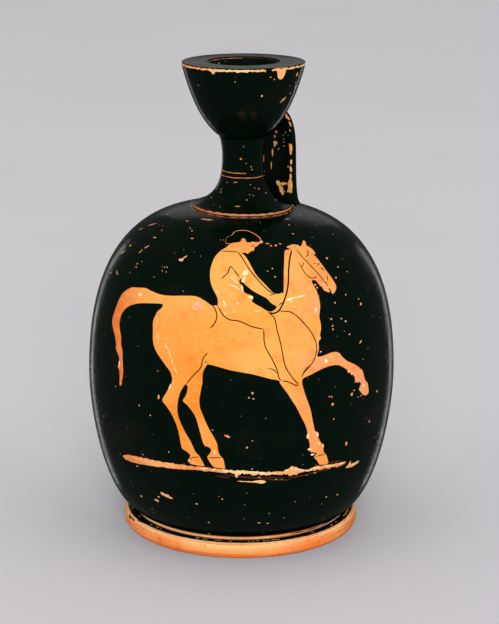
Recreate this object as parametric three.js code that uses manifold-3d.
// Squat lekythos: a one-handled oil vessel. Its thrown and pulled members are luted together with slip.
// Millimetres, +Z up. The vessel's axis is Z, the foot stands on z = 0 and the handle lies towards +X.

import * as THREE from 'three';
import { mergeVertices } from 'three/addons/utils/BufferGeometryUtils.js';
import Module from 'manifold-3d';

const wasm = await Module();
wasm.setup();

// Foot: a disc with a rounded edge, hollowed below so that it stands on a flat ring
const FOOT_RADIUS = 45.6;
const FOOT_HEIGHT = 6.0;
const FOOT_EDGE_BULGE = 1.3;
const FOOT_REST_WIDTH = 7.0;
const FOOT_HOLLOW_DEPTH = 2.4;
const FOOT_HOLLOW_SLOPE = 3.0;

// Fillet: the pad of clay between foot and body, with a rounded rim that stands proud of the body's seat
const FOOT_FILLET_HEIGHT = 1.0;
const FOOT_FILLET_PROUD = 0.6;

// Body: a thrown bulb, widest below the middle, with a broad shoulder that ends in a flat land for the neck
const BODY_SEAT_RADIUS = 40.8;
const BODY_RADIUS = 58.9;
const BODY_BELLY_HEIGHT = 54.0;
const BODY_HEIGHT = 118.1;
const BODY_WALL = 3.5;
const BODY_FLOOR = 4.0;
const SHOULDER_HOLE_RADIUS = 9.0;

// Neck fillet: the reserved clay ring round the foot of the neck
const NECK_FILLET_RADIUS = 18.8;
const NECK_FILLET_HEIGHT = 1.1;
const NECK_FILLET_BULGE = 0.35;

// Neck: a slender tube that flares down onto the shoulder
const NECK_FOOT_RADIUS = 18.2;
const NECK_WAIST_RADIUS = 7.8;
const NECK_WAIST_HEIGHT = 17.7;
const NECK_TOP_RADIUS = 8.6;
const NECK_HEIGHT = 25.2;
const NECK_BORE_RADIUS = 4.6;

// Slip joint: the fine ridge left where the mouth was set on the neck
const MOUTH_JOINT_HEIGHT = 0.8;
const MOUTH_JOINT_PROUD = 0.2;

// Mouth: a thick flower-shaped cup with a broad flat lip and a funnel inside
const MOUTH_SEAT_RADIUS = 8.7;
const MOUTH_RADIUS = 22.8;
const MOUTH_HEIGHT = 27.8;
const MOUTH_OPENING_RADIUS = 13.0;
const LIP_EDGE_HEIGHT = 1.1;
const LIP_ROUNDING = 0.5;

// Handle: a flat strap that stands off from the neck's fillet and rises to the underside of the mouth
const HANDLE_WIDTH = 15.0;
const HANDLE_THICKNESS = 3.2;
const HANDLE_EDGE_ROUNDING = 0.9;
const HANDLE_STAND_OFF = 1.3;
const HANDLE_RISE = 18.5;
const HANDLE_INSET = 2.0;
const HANDLE_OUTSET = 1.4;
const HANDLE_CROWN_DROP = 6.4;
const HANDLE_JOIN_HEIGHT = 7.2;
const HANDLE_FLARE = 0.7;
const HANDLE_FLARE_LENGTH = 4.0;

// Slip pads under the two ends of the handle, and the clearance on each side of them
const SLIP_THICKNESS = 0.6;
const SLIP_PROUD = 0.7;
const SLIP_CLEARANCE = 0.3;

// Fullness of each curve: how far its control points lie along the width and height that it spans
const LOWER_WALL = { leave: [0.71, 0.085], arrive: [0, 0.286] };
const UPPER_WALL = { leave: [0, 0.597], arrive: [0.69, 0.0485] };
const NECK_FLARE = { leave: [0.84, 0.18], arrive: [0, 0.46] };
const NECK_RISE = { leave: [0, 0.5], arrive: [0.6, 0.4] };
const NECK_BORE_FLARE = { leave: [0.5, 0.1], arrive: [0, 0.5] };
const MOUTH_WALL = { leave: [0.572, 0.204], arrive: [0.133, 0.299] };
const FUNNEL = { leave: [0.1, 0.35], arrive: [0.35, 0.4] };

// Fineness of the facets
const TURN_STEPS = 48;
const WALL_STEPS = 10;
const NECK_STEPS = 7;
const NECK_TOP_STEPS = 3;
const MOUTH_STEPS = 8;
const EDGE_STEPS = 6;
const CORNER_STEPS = 3;
const STRAP_STEPS = 18;

// Levels of the stacked members
const filletLevel = FOOT_HEIGHT;
const bodyLevel = filletLevel + FOOT_FILLET_HEIGHT;
const landLevel = bodyLevel + BODY_HEIGHT;
const neckLevel = landLevel + NECK_FILLET_HEIGHT;
const mouthJointLevel = neckLevel + NECK_HEIGHT;
const mouthLevel = mouthJointLevel + MOUTH_JOINT_HEIGHT;
const lipLevel = mouthLevel + MOUTH_HEIGHT;

const at = (radius, height) => new THREE.Vector2(radius, height);

// A smooth curve between two points of a profile
function curve(from, to, fullness, steps) {
  const span = to.clone().sub(from);
  const first = at(from.x + span.x * fullness.leave[0], from.y + span.y * fullness.leave[1]);
  const second = at(to.x - span.x * fullness.arrive[0], to.y - span.y * fullness.arrive[1]);
  return new THREE.CubicBezierCurve(from, first, second, to).getPoints(steps);
}

// A half-round edge, from bottom to top, that stands out by its bulge
function roundEdge(radius, bottom, top, bulge) {
  const middle = (bottom + top) / 2;
  const half = (top - bottom) / 2;
  const arc = new THREE.EllipseCurve(radius - bulge, middle, bulge, half, -Math.PI / 2, Math.PI / 2);
  return arc.getPoints(EDGE_STEPS);
}

// A profile moved sideways along its normals, to the right of its direction of travel
function offset(points, distance) {
  return points.map((point, index) => {
    const before = points[Math.max(index - 1, 0)];
    const after = points[Math.min(index + 1, points.length - 1)];
    const along = after.clone().sub(before).normalize();
    return at(point.x + along.y * distance, point.y - along.x * distance);
  });
}

// A solid of revolution about Z, from an outline that runs anticlockwise
function revolve(outline) {
  return new THREE.LatheGeometry(outline, TURN_STEPS).rotateX(Math.PI / 2);
}

// A ring or hollow member: its outline closes on itself
function revolveClosed(outline) {
  return revolve([...outline, outline[0].clone()]);
}

// A member that is filled right to the axis
function revolveFilled(wall) {
  const bottom = at(0, wall[0].y);
  const top = at(0, wall[wall.length - 1].y);
  return revolve([bottom, ...wall, top]);
}

// A closed solid for cutting, with shared corners merged and the slivers at the axis left out
function solid(geometry) {
  const bare = geometry.clone();
  bare.deleteAttribute('normal');
  bare.deleteAttribute('uv');
  const merged = mergeVertices(bare);
  const corners = Array.from(merged.index.array);
  const kept = [];
  for (let i = 0; i < corners.length; i += 3) {
    const [a, b, c] = corners.slice(i, i + 3);
    if (a !== b && b !== c && c !== a) kept.push(a, b, c);
  }
  const vertProperties = new Float32Array(merged.attributes.position.array);
  const triVerts = new Uint32Array(kept);
  return new wasm.Manifold(new wasm.Mesh({ numProp: 3, vertProperties, triVerts }));
}

// The faces of a cut solid
function faces(cut) {
  const result = cut.getMesh();
  const geometry = new THREE.BufferGeometry();
  geometry.setAttribute('position', new THREE.BufferAttribute(result.vertProperties, 3));
  geometry.setIndex(new THREE.BufferAttribute(result.triVerts, 1));
  geometry.computeVertexNormals();
  return geometry;
}

function footGeometry() {
  const restOuter = FOOT_RADIUS - FOOT_EDGE_BULGE;
  const restInner = restOuter - FOOT_REST_WIDTH;
  const hollow = [at(0, FOOT_HOLLOW_DEPTH), at(restInner - FOOT_HOLLOW_SLOPE, FOOT_HOLLOW_DEPTH)];
  const edge = roundEdge(FOOT_RADIUS, 0, FOOT_HEIGHT, FOOT_EDGE_BULGE);
  return revolve([...hollow, at(restInner, 0), ...edge, at(0, FOOT_HEIGHT)]);
}

function footFilletGeometry() {
  const rim = BODY_SEAT_RADIUS + FOOT_FILLET_PROUD;
  return revolveFilled(roundEdge(rim, filletLevel, bodyLevel, FOOT_FILLET_PROUD));
}

function shoulderCurve() {
  const belly = at(BODY_RADIUS, bodyLevel + BODY_BELLY_HEIGHT);
  const landEdge = at(NECK_FILLET_RADIUS, landLevel);
  return curve(belly, landEdge, UPPER_WALL, WALL_STEPS);
}

function bodyWall() {
  const seat = at(BODY_SEAT_RADIUS, bodyLevel);
  const belly = at(BODY_RADIUS, bodyLevel + BODY_BELLY_HEIGHT);
  return [...curve(seat, belly, LOWER_WALL, WALL_STEPS), ...shoulderCurve().slice(1)];
}

function bodyGeometry() {
  const outside = bodyWall();
  const floor = bodyLevel + BODY_FLOOR;
  const inside = offset(outside, -BODY_WALL).filter((point) => point.y > floor);
  const underLand = inside[inside.length - 1].y;
  const hole = [at(SHOULDER_HOLE_RADIUS, landLevel), at(SHOULDER_HOLE_RADIUS, underLand)];
  const floorEdge = at(inside[0].x, floor);
  return revolve([at(0, bodyLevel), ...outside, ...hole, ...inside.reverse(), floorEdge, at(0, floor)]);
}

function neckFilletGeometry() {
  const rim = roundEdge(NECK_FILLET_RADIUS, landLevel, neckLevel, NECK_FILLET_BULGE);
  return revolveClosed([at(SHOULDER_HOLE_RADIUS, landLevel), ...rim, at(SHOULDER_HOLE_RADIUS, neckLevel)]);
}

function neckGeometry() {
  const waistLevel = neckLevel + NECK_WAIST_HEIGHT;
  const foot = at(NECK_FOOT_RADIUS, neckLevel);
  const waist = at(NECK_WAIST_RADIUS, waistLevel);
  const top = at(NECK_TOP_RADIUS, mouthJointLevel);
  const flare = curve(foot, waist, NECK_FLARE, NECK_STEPS);
  const rise = curve(waist, top, NECK_RISE, NECK_TOP_STEPS);
  const boreFoot = at(SHOULDER_HOLE_RADIUS, neckLevel);
  const boreFlare = curve(boreFoot, at(NECK_BORE_RADIUS, waistLevel), NECK_BORE_FLARE, NECK_STEPS);
  const boreTop = at(NECK_BORE_RADIUS, mouthJointLevel);
  return revolveClosed([...flare, ...rise.slice(1), boreTop, ...boreFlare.reverse()]);
}

function mouthJointGeometry() {
  const ridge = Math.max(NECK_TOP_RADIUS, MOUTH_SEAT_RADIUS) + MOUTH_JOINT_PROUD;
  const rim = roundEdge(ridge, mouthJointLevel, mouthLevel, MOUTH_JOINT_PROUD);
  return revolveClosed([at(NECK_BORE_RADIUS, mouthJointLevel), ...rim, at(NECK_BORE_RADIUS, mouthLevel)]);
}

function mouthWall() {
  const seat = at(MOUTH_SEAT_RADIUS, mouthLevel);
  return curve(seat, at(MOUTH_RADIUS, lipLevel - LIP_EDGE_HEIGHT), MOUTH_WALL, MOUTH_STEPS);
}

function mouthGeometry() {
  const lip = [
    at(MOUTH_RADIUS, lipLevel - LIP_ROUNDING),
    at(MOUTH_RADIUS - LIP_ROUNDING, lipLevel),
    at(MOUTH_OPENING_RADIUS + LIP_ROUNDING, lipLevel),
  ];
  const bore = at(NECK_BORE_RADIUS, mouthLevel);
  const opening = at(MOUTH_OPENING_RADIUS, lipLevel - LIP_ROUNDING);
  const funnel = curve(bore, opening, FUNNEL, MOUTH_STEPS);
  return revolveClosed([...mouthWall(), ...lip, ...funnel.reverse()]);
}

// Where a profile crosses a given radius or height, found along its straight facets
function crossing(points, axis, value) {
  const side = points.map((point) => Math.sign(point[axis] - value));
  const index = side.findIndex((sign, i) => i > 0 && sign * side[i - 1] <= 0);
  const [before, after] = [points[index - 1], points[index]];
  return before.clone().lerp(after, (value - before[axis]) / (after[axis] - before[axis]));
}

// The strap's middle line in the XZ plane, from the shoulder to the wall of the mouth
function strapLine() {
  const baseRadius = NECK_FILLET_RADIUS + HANDLE_STAND_OFF + SLIP_PROUD + HANDLE_THICKNESS / 2;
  const base = crossing(shoulderCurve(), 'x', baseRadius);
  const join = crossing(mouthWall(), 'y', mouthLevel + HANDLE_JOIN_HEIGHT);
  const rise = at(baseRadius - HANDLE_INSET, base.y + HANDLE_RISE);
  const crown = at(baseRadius + HANDLE_OUTSET, join.y - HANDLE_CROWN_DROP);
  return new THREE.CubicBezierCurve(base, rise, crown, join);
}

// The strap's flat section with rounded edges: x across its width, y through its thickness
function strapSection(width, thickness) {
  const rounding = Math.min(HANDLE_EDGE_ROUNDING, thickness / 2);
  const x = width / 2 - rounding;
  const y = thickness / 2 - rounding;
  const corners = [[x, y, 0], [-x, y, 1], [-x, -y, 2], [x, -y, 3]];
  return corners.flatMap(([cx, cy, quarter]) => {
    const start = quarter * Math.PI / 2;
    const arc = new THREE.EllipseCurve(cx, cy, rounding, rounding, start, start + Math.PI / 2);
    return arc.getPoints(CORNER_STEPS);
  });
}

// Stations along the strap, run on past both ends so that the neighbours can trim it
function strapStations() {
  const line = strapLine();
  const length = line.getLength();
  const overrun = HANDLE_WIDTH / 2;
  const stations = [];
  for (let i = 0; i <= STRAP_STEPS; i += 1) {
    const share = i / STRAP_STEPS;
    const fromEnd = Math.min(share, 1 - share) * length;
    const flare = HANDLE_FLARE * Math.exp(-fromEnd / HANDLE_FLARE_LENGTH);
    stations.push({ centre: line.getPointAt(share), along: line.getTangentAt(share), flare });
  }
  const [first, last] = [stations[0], stations[STRAP_STEPS]];
  const before = { ...first, centre: first.centre.clone().addScaledVector(first.along, -overrun) };
  const after = { ...last, centre: last.centre.clone().addScaledVector(last.along, overrun) };
  return [before, ...stations, after];
}

// The strap as a loft through its stations, thicker and wider by the given margin
function strapSolid(margin) {
  const positions = [];
  const indices = [];
  const stations = strapStations();
  let count = 0;
  stations.forEach(({ centre, along, flare }) => {
    const section = strapSection(HANDLE_WIDTH + 2 * (flare + margin), HANDLE_THICKNESS + 2 * margin);
    count = section.length;
    section.forEach(({ x, y }) => positions.push(centre.x + along.y * y, -x, centre.y - along.x * y));
  });
  for (let ring = 0; ring + 1 < stations.length; ring += 1) {
    for (let i = 0; i < count; i += 1) {
      const a = ring * count + i;
      const b = ring * count + (i + 1) % count;
      indices.push(a, b, b + count, a, b + count, a + count);
    }
  }
  const top = (stations.length - 1) * count;
  for (let i = 1; i + 1 < count; i += 1) {
    indices.push(0, i + 1, i);
    indices.push(top, top + i, top + i + 1);
  }
  const geometry = new THREE.BufferGeometry();
  geometry.setAttribute('position', new THREE.Float32BufferAttribute(positions, 3));
  geometry.setIndex(indices);
  return solid(geometry);
}

// The filled shape of a neighbour, grown outwards by a clearance
function grown(wall, distance) {
  return solid(revolveFilled(offset(wall, distance)));
}

function handleGeometry() {
  const standOff = 2 * SLIP_CLEARANCE + SLIP_THICKNESS;
  const mouth = grown(mouthWall(), standOff);
  const shoulder = grown(shoulderCurve(), standOff);
  return faces(strapSolid(0).subtract(mouth).subtract(shoulder));
}

// A slip pad follows the wall that it lies on and takes the strap's outline, a little larger
function slipPadGeometry(wall) {
  const outer = grown(wall, SLIP_CLEARANCE + SLIP_THICKNESS);
  const inner = grown(wall, SLIP_CLEARANCE);
  return faces(strapSolid(SLIP_PROUD).intersect(outer).subtract(inner));
}

function gloss() {
  return new THREE.MeshStandardMaterial({ color: 0x0b130e, roughness: 0.28, metalness: 0 });
}

function clay() {
  return new THREE.MeshStandardMaterial({ color: 0xdd8a48, roughness: 0.62, metalness: 0 });
}

function member(name, geometry, material) {
  const mesh = new THREE.Mesh(geometry, material);
  mesh.name = name;
  return mesh;
}

const lekythos = new THREE.Group();
lekythos.add(
  member('foot', footGeometry(), clay()),
  member('foot_fillet', footFilletGeometry(), clay()),
  member('body', bodyGeometry(), gloss()),
  member('neck_fillet', neckFilletGeometry(), clay()),
  member('neck', neckGeometry(), gloss()),
  member('mouth_slip_joint', mouthJointGeometry(), gloss()),
  member('mouth', mouthGeometry(), gloss()),
  member('handle', handleGeometry(), gloss()),
  member('handle_upper_slip_joint', slipPadGeometry(mouthWall()), gloss()),
  member('handle_lower_slip_joint', slipPadGeometry(shoulderCurve()), gloss()),
);

export default lekythos;
